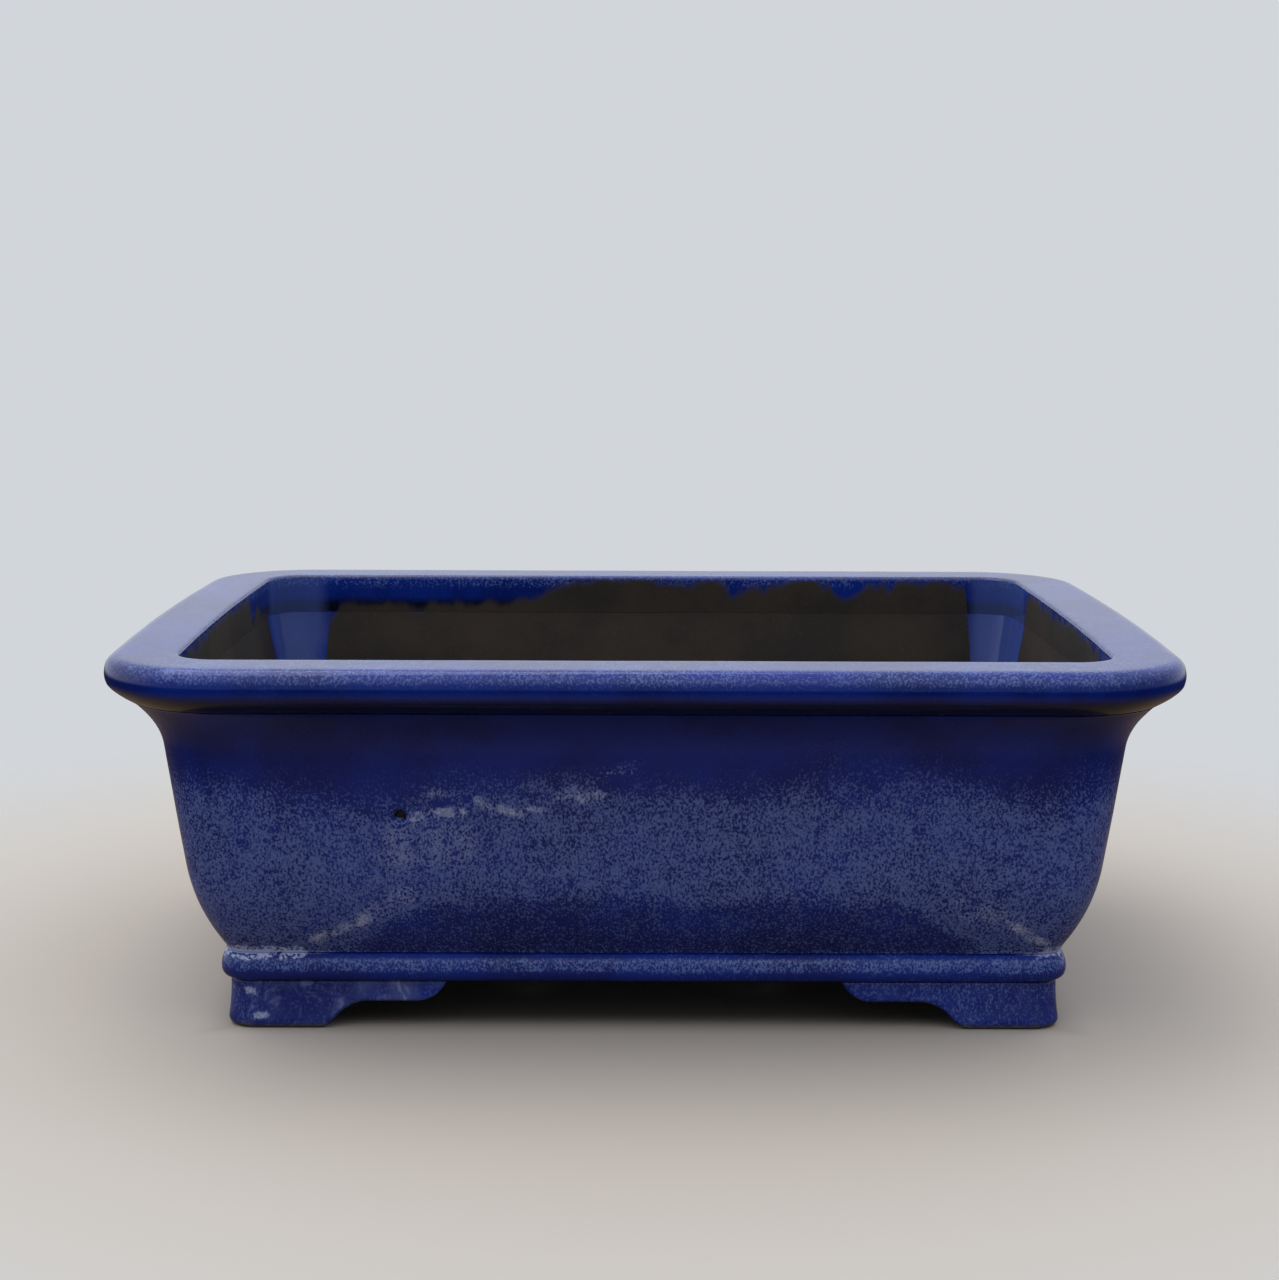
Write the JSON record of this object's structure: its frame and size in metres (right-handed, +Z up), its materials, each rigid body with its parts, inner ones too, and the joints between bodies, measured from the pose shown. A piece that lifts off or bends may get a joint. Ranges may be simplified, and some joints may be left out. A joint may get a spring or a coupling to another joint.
{
  "type": "rectangular bonsai pot",
  "caption": "Footed rectangular bonsai pot: ogee walls, wide flat rim, beaded base belt, bracket feet, drain and tie-wire holes in the floor.",
  "frame": {"origin": "middle of the footprint, in the plane of the four soles", "axes": "+X along the pot's length, towards the right-hand end; +Z up; the front long side faces -Y"},
  "size_m": [0.307, 0.23, 0.109],
  "materials": {
    "blue_glaze": "gloss cobalt glaze with fine pale mottling",
    "bare_clay": "matt fired stoneware"
  },
  "bodies": {
    "root": {"front_wall": "blue_glaze", "back_wall": "blue_glaze", "left_wall": "blue_glaze", "right_wall": "blue_glaze", "front_rim": "blue_glaze", "back_rim": "blue_glaze", "left_rim": "blue_glaze", "right_rim": "blue_glaze", "base_belt": "blue_glaze", "floor_slab": "bare_clay", "front_left_foot": "blue_glaze", "front_right_foot": "blue_glaze", "back_left_foot": "blue_glaze", "back_right_foot": "blue_glaze"}
  },
  "joints": []
}
